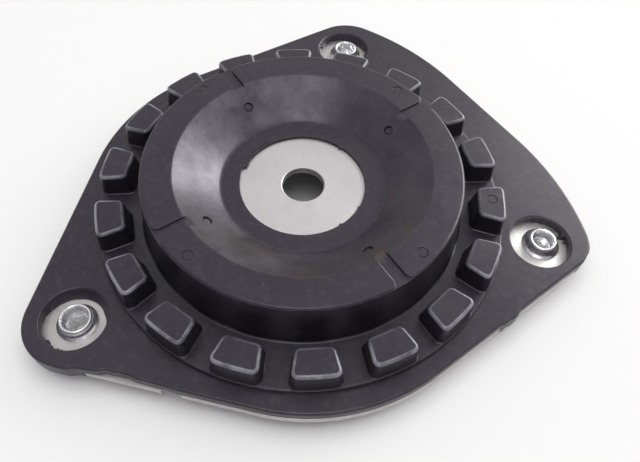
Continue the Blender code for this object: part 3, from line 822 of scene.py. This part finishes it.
def inner_cup_stamping():
    """The inner cup, its bore's edges rounded."""
    section = sheet_section(cup_chain(BORE_RADIUS), CUP_THICKNESS, 0)
    edge = CUP_EDGE_RADIUS
    bottom = DISC_TOP - CUP_THICKNESS
    section[0] = (BORE_RADIUS + edge, DISC_TOP)
    section[-1] = (BORE_RADIUS + edge, bottom)
    section += [(BORE_RADIUS + edge / 3, bottom + edge / 3), (BORE_RADIUS, bottom + edge),
                (BORE_RADIUS, DISC_TOP - edge), (BORE_RADIUS + edge / 3, DISC_TOP - edge / 3)]
    return turned("inner_cup_stamping", section, TURN_STEPS)


def nut_thread(turn):
    """Points up the threaded bore at a turn, given as a share of a whole one."""
    rows = 48
    top, bottom = PLATE_TOP - 0.0006, 0.0006
    points = []
    for i in range(rows + 1):
        z = bottom + (top - bottom) * i / rows
        phase = (z / THREAD_PITCH - turn) % 1.0
        points.append((THREAD_MINOR + THREAD_DEPTH * abs(2 * phase - 1), z))
    return points


def nut_shell(name, inset):
    """Rolled collar, skirt and shank of a nut, and the thread in its bore."""
    top, plate = NUT_TOP, PLATE_TOP
    outer = [(r - inset, top + z) for r, z in ROLLED_COLLAR] + [(r, plate + z) for r, z in SKIRT]
    outer += [(SHANK_RADIUS, 0.0004), (0.0047, 0.0001), (THREAD_MINOR + 0.0008, 0.0001)]
    bore = TUBE_BORE - inset
    verts = []
    for step in range(NUT_STEPS):
        a = 2 * pi * step / NUT_STEPS
        nick = NICK_DEPTH if step % 4 < 2 else 0.0
        ring = outer + nut_thread(step / NUT_STEPS)
        ring += [(bore - 0.0001, plate - 0.0002), (bore, plate + 0.0004)]
        ring += [(bore + out + nick * share, top + z) for out, share, z in COLLAR_MOUTH]
        verts += [(r * cos(a), r * sin(a), z) for r, z in ring]
    size = len(verts) // NUT_STEPS
    faces = []
    for step in range(NUT_STEPS):
        here, there = step * size, (step + 1) % NUT_STEPS * size
        for i in range(size):
            j = (i + 1) % size
            faces.append((here + i, there + i, there + j, here + j))
    return mesh_object(name, verts, faces)


def nut_hexagon():
    """Hexagon body under the plate, its lower corners chamfered, open in the middle."""
    height = PLATE_BOTTOM
    flats = NUT_ACROSS_FLATS / 2
    corner = flats / cos(pi / 6)
    body = round_plug("hexagon", [(corner, 0.0), (corner, height)], 6)
    clear, beyond = 0.0003, 0.001
    form = round_plug("form", [(flats * 0.99, -0.0002), (flats * 1.02, 0.00005),
                               (corner + clear, 0.0008), (corner + clear, height + beyond)], NUT_STEPS)
    combine(body, [form], "INTERSECT")
    drill = round_plug("drill", [(HEXAGON_BORE, -beyond), (HEXAGON_BORE, height + beyond)], NUT_STEPS)
    combine(body, [drill], "DIFFERENCE")
    return body


def clinch_nut(side, turn):
    """One nut, turned like its corner; the side nuts have the narrower collar."""
    inset = 0.0 if side == "front" else NUT_COLLAR_INSET
    shell = nut_shell("clinch_nut_" + side + "_detailed", inset)
    combine(shell, [nut_hexagon()], "UNION")
    shell.location = (*NUT_PLACES[side], 0)
    shell.rotation_euler = (0, 0, turn)
    return shell


# Materials

class Graph:
    """Short way to write a material's nodes."""

    def __init__(self, name):
        self.material = bpy.data.materials.new(name)
        self.material.use_nodes = True
        self.nodes = self.material.node_tree.nodes
        self.links = self.material.node_tree.links
        self.shader = self.nodes["Principled BSDF"]
        self.place = self.nodes.new("ShaderNodeTexCoord").outputs["Object"]

    def link(self, source, target):
        self.links.new(source, target)

    def noise(self, scale, detail=4.0, rough=0.5, distortion=0.0, vector=None):
        node = self.nodes.new("ShaderNodeTexNoise")
        node.inputs["Scale"].default_value = scale
        node.inputs["Detail"].default_value = detail
        node.inputs["Roughness"].default_value = rough
        node.inputs["Distortion"].default_value = distortion
        self.link(vector or self.place, node.inputs["Vector"])
        return node.outputs["Fac"]

    def remap(self, value, low, high, to_low=0.0, to_high=1.0):
        node = self.nodes.new("ShaderNodeMapRange")
        node.interpolation_type = "SMOOTHSTEP"
        for name, number in (("From Min", low), ("From Max", high), ("To Min", to_low), ("To Max", to_high)):
            node.inputs[name].default_value = number
        self.link(value, node.inputs["Value"])
        return node.outputs["Result"]

    def math(self, operation, first, second=None):
        node = self.nodes.new("ShaderNodeMath")
        node.operation = operation
        for socket, value in zip(node.inputs, (first, second)):
            if value is None:
                continue
            if isinstance(value, (int, float)):
                socket.default_value = value
            else:
                self.link(value, socket)
        return node.outputs[0]

    def mix(self, share, first, second):
        node = self.nodes.new("ShaderNodeMix")
        node.data_type = "RGBA"
        for name, value in ((MIX_SHARE, share), (MIX_FIRST, first), (MIX_SECOND, second)):
            socket = node.inputs[name]
            if isinstance(value, tuple):
                socket.default_value = (*value, 1)
            elif isinstance(value, (int, float)):
                socket.default_value = value
            else:
                self.link(value, socket)
        return node.outputs[MIX_RESULT]

    def about_axis(self):
        """Radius from the bore's axis, and the three coordinates about it."""
        shift = self.nodes.new("ShaderNodeVectorMath")
        shift.operation = "SUBTRACT"
        shift.inputs[1].default_value = (0, AXIS_Y, 0)
        self.link(self.place, shift.inputs[0])
        parts = self.nodes.new("ShaderNodeSeparateXYZ")
        self.link(shift.outputs[0], parts.inputs[0])
        x, y, z = parts.outputs
        squares = self.math("MULTIPLY", x, x), self.math("MULTIPLY", y, y)
        radius = self.math("SQRT", self.math("ADD", *squares))
        return radius, x, y, z

    def bump(self, height, distance, strength=1.0):
        node = self.nodes.new("ShaderNodeBump")
        node.inputs["Strength"].default_value = strength
        node.inputs["Distance"].default_value = distance
        self.link(height, node.inputs["Height"])
        self.link(node.outputs["Normal"], self.shader.inputs["Normal"])


def rubber_material():
    """Black rubber with a pale blooming film in the cone, painted reflections on the cone, and lighter block
    edges that are a painted highlight.
    """
    g = Graph("black_rubber")
    radius, x, y, z = g.about_axis()
    patches = g.remap(g.noise(38, 5, 0.6), 0.42, 0.68)
    mottle = g.remap(g.noise(420, 5, 0.65), 0.46, 0.72)
    in_cone = g.math("MULTIPLY", g.remap(radius, 0.0275, 0.0300), g.remap(radius, 0.0434, 0.0424))
    # Pale blooming film in the cone, strongest towards -x -y and faded towards +x +y; that one-sided fade is
    # a painted reflection.
    bloom_and_reflection = g.math("MULTIPLY", in_cone, g.remap(g.noise(75, 8, 0.68, 0.3), 0.25, 0.75))
    bloom_and_reflection = g.math("MULTIPLY", bloom_and_reflection, g.remap(g.math("ADD", x, y), -0.030, 0.020, 1.0, 0.25))
    colour = g.mix(patches, (0.0080, 0.0068, 0.0115), (0.0125, 0.0108, 0.0155))
    colour = g.mix(g.math("MULTIPLY", mottle, 0.6), colour, (0.028, 0.026, 0.030))
    colour = g.mix(g.math("MULTIPLY", bloom_and_reflection, 0.85), colour, (0.095, 0.093, 0.102))
    # Painted warm reflection: a brownish tint in patches over the cone's +x side.
    across = g.math("SUBTRACT", x, g.math("MULTIPLY", y, 0.3))
    warm_reflection = g.math("MULTIPLY", in_cone, g.remap(across, 0.004, 0.034))
    warm_reflection = g.math("MULTIPLY", warm_reflection, g.remap(g.noise(45, 5, 0.6), 0.38, 0.62))
    colour = g.mix(g.math("MULTIPLY", warm_reflection, 0.8), colour, (0.040, 0.026, 0.018))
    # Painted highlight: the rounded block edges made lighter, most on their outer side, with a faint share
    # on the other rounded edges.
    edge = g.nodes.new("ShaderNodeAttribute")
    edge.attribute_name = "edge"
    up_the_block = g.remap(z, PLATFORM_TOP + 0.0030, PLATFORM_TOP + 0.0060)
    on_blocks = g.math("MULTIPLY", g.remap(radius, 0.0570, 0.0580), up_the_block)
    edge_highlight = g.math("MULTIPLY", edge.outputs["Fac"], g.math("MAXIMUM", on_blocks, 0.06))
    edge_highlight = g.math("MULTIPLY", edge_highlight, g.remap(radius, 0.0590, 0.0680, 0.35, 1.0))
    edge_highlight = g.math("MULTIPLY", edge_highlight, g.remap(g.noise(150, 4, 0.6), 0.30, 0.60, 0.25, 1.0))
    colour = g.mix(edge_highlight, colour, (0.215, 0.210, 0.235))
    specks = g.remap(g.noise(1700, 1, 0.5), 0.79, 0.83)
    colour = g.mix(g.math("MULTIPLY", specks, 0.6), colour, (0.24, 0.23, 0.22))
    g.link(colour, g.shader.inputs["Base Color"])
    rough = g.remap(g.noise(120, 5, 0.6), 0.3, 0.7, 0.34, 0.44)
    g.link(g.math("SUBTRACT", rough, g.math("MULTIPLY", in_cone, 0.03)), g.shader.inputs["Roughness"])
    g.shader.inputs["Specular IOR Level"].default_value = 0.58
    g.shader.inputs["Specular Tint"].default_value = (0.96, 0.92, 1.0, 1)
    height = g.math("ADD", g.math("MULTIPLY", g.noise(900, 3, 0.6), 0.35), g.noise(260, 4, 0.6))
    g.bump(height, 0.00010, 0.6)
    return g.material


def steel_material(name, colour, dull, rough, grain):
    """Steel in two tones, with a fine speckle and a grain in metres."""
    g = Graph(name)
    patches = g.remap(g.noise(60, 5, 0.6), 0.35, 0.70)
    speckle = g.remap(g.noise(1500, 2, 0.6), 0.56, 0.70, 0.0, 0.35)
    base = g.mix(speckle, g.mix(patches, colour, dull), tuple(part * 0.6 for part in dull))
    g.link(base, g.shader.inputs["Base Color"])
    g.shader.inputs["Metallic"].default_value = 1.0
    spread = g.remap(g.noise(350, 4, 0.6), 0.3, 0.7, rough - 0.05, rough + 0.07)
    g.link(spread, g.shader.inputs["Roughness"])
    g.bump(g.noise(2200, 3, 0.6), grain, 0.5)
    return g.material


# Stage

def floor_and_light():
    """White paper under the mount, a pale room and soft lamps."""
    size = 3.0
    mesh = bpy.data.meshes.new("floor")
    mesh.from_pydata([(-size, -size, 0), (size, -size, 0), (size, size, 0), (-size, size, 0)],
                     [], [(0, 1, 2, 3)])
    floor = bpy.data.objects.new("floor", mesh)
    bpy.context.scene.collection.objects.link(floor)
    paper = bpy.data.materials.new("white_paper")
    paper.use_nodes = True
    shader = paper.node_tree.nodes["Principled BSDF"]
    shader.inputs["Base Color"].default_value = (0.785, 0.78, 0.76, 1)
    shader.inputs["Roughness"].default_value = 0.9
    shader.inputs["Specular IOR Level"].default_value = 0.1
    mesh.materials.append(paper)
    room()
    softbox("window", (0.06, 1.05, 0.52), (0.85, 0.42), 2.8)
    softbox("ceiling", (0.0, 0.05, 1.00), (0.90, 0.90), 6.2).visible_glossy = False
    softbox("window_sheen", (-0.06, 1.04, 0.50), (0.80, 0.30), 10.0).visible_diffuse = False
    softbox("ceiling_sheen", (0.38, -0.26, 0.90), (0.40, 0.40), 2.4).visible_diffuse = False


def room():
    """Pale room: bright overhead and behind the mount, dimmer and cooler on the camera's side."""
    world = bpy.data.worlds.new("room")
    world.use_nodes = True
    nodes, links = world.node_tree.nodes, world.node_tree.links
    place = nodes.new("ShaderNodeTexCoord").outputs["Generated"]
    along = nodes.new("ShaderNodeVectorMath")
    along.operation = "DOT_PRODUCT"
    along.inputs[1].default_value = (-0.35, 0.50, 0.79)
    links.new(place, along.inputs[0])
    share = nodes.new("ShaderNodeMapRange")
    share.interpolation_type = "SMOOTHSTEP"
    share.inputs["From Min"].default_value = 0.0
    share.inputs["From Max"].default_value = 0.85
    links.new(along.outputs["Value"], share.inputs["Value"])
    tint = nodes.new("ShaderNodeMix")
    tint.data_type = "RGBA"
    tint.inputs[6].default_value = (0.31, 0.295, 0.35, 1)
    tint.inputs[7].default_value = (0.88, 0.88, 0.90, 1)
    links.new(share.outputs["Result"], tint.inputs[0])
    links.new(tint.outputs[2], nodes["Background"].inputs["Color"])
    bpy.context.scene.world = world


def softbox(name, place, sizes, power):
    """Rectangular area light aimed at the mount: place and sizes in metres, power in watts."""
    lamp = bpy.data.lights.new(name, "AREA")
    lamp.shape = "RECTANGLE"
    lamp.size, lamp.size_y = sizes
    lamp.energy = power
    item = bpy.data.objects.new(name, lamp)
    bpy.context.scene.collection.objects.link(item)
    item.location = place
    item.rotation_mode = "QUATERNION"
    item.rotation_quaternion = (Vector((0, AXIS_Y, DISC_TOP)) - Vector(place)).to_track_quat("-Z", "Y")
    return item


def camera():
    """Camera at the photograph's place, from its elevation, distance and turns."""
    elevation, distance = radians(51.59), 0.20449
    azimuth, pitch, yaw, roll = radians(55.6), radians(-4.486), radians(-1.746), radians(-1.548)
    place = Vector((0, -distance * cos(elevation), distance * sin(elevation)))
    ahead = -place.normalized()
    right = Vector((1, 0, 0))
    up = right.cross(ahead)
    turn = Matrix.Rotation(yaw, 3, up) @ Matrix.Rotation(pitch, 3, right)
    turn = Matrix.Rotation(roll, 3, turn @ ahead) @ turn
    axes = Matrix((turn @ right, turn @ up, -(turn @ ahead))).transposed().to_4x4()
    axes.translation = place
    data = bpy.data.cameras.new("camera")
    data.lens = 33.39
    data.sensor_width = 36.0
    data.clip_start = 0.01
    item = bpy.data.objects.new("camera", data)
    bpy.context.scene.collection.objects.link(item)
    item.matrix_world = (Matrix.Translation((0, AXIS_Y, DISC_TOP))
                         @ Matrix.Rotation(azimuth, 4, "Z") @ axes)
    bpy.context.scene.camera = item


def main():
    bpy.context.scene.view_settings.view_transform = "Standard"
    camera()
    floor_and_light()
    rubber = rubber_material()
    plate_steel = steel_material("plated_steel", colour=(0.58, 0.56, 0.55), dull=(0.50, 0.48, 0.465),
                                 rough=0.46, grain=0.00004)
    cup_steel = steel_material("bare_steel", colour=(0.58, 0.56, 0.555), dull=(0.55, 0.53, 0.525),
                               rough=0.50, grain=0.00001)
    nut_steel = steel_material("nut_zinc", colour=(0.88, 0.88, 0.89), dull=(0.78, 0.78, 0.79),
                               rough=0.27, grain=0.00001)
    finish_piece(rubber_moulding(), rubber, "rubber", "rubber_body")
    finish_piece(carrier_stamping(), plate_steel, "plate_steel", "carrier_plate")
    finish_piece(inner_cup_stamping(), cup_steel, "cup_steel", "inner_cup")
    for side, turn in NUT_TURNS.items():
        finish_piece(clinch_nut(side, turn), nut_steel, "nut_steel", "clinch_nut_" + side)


main()
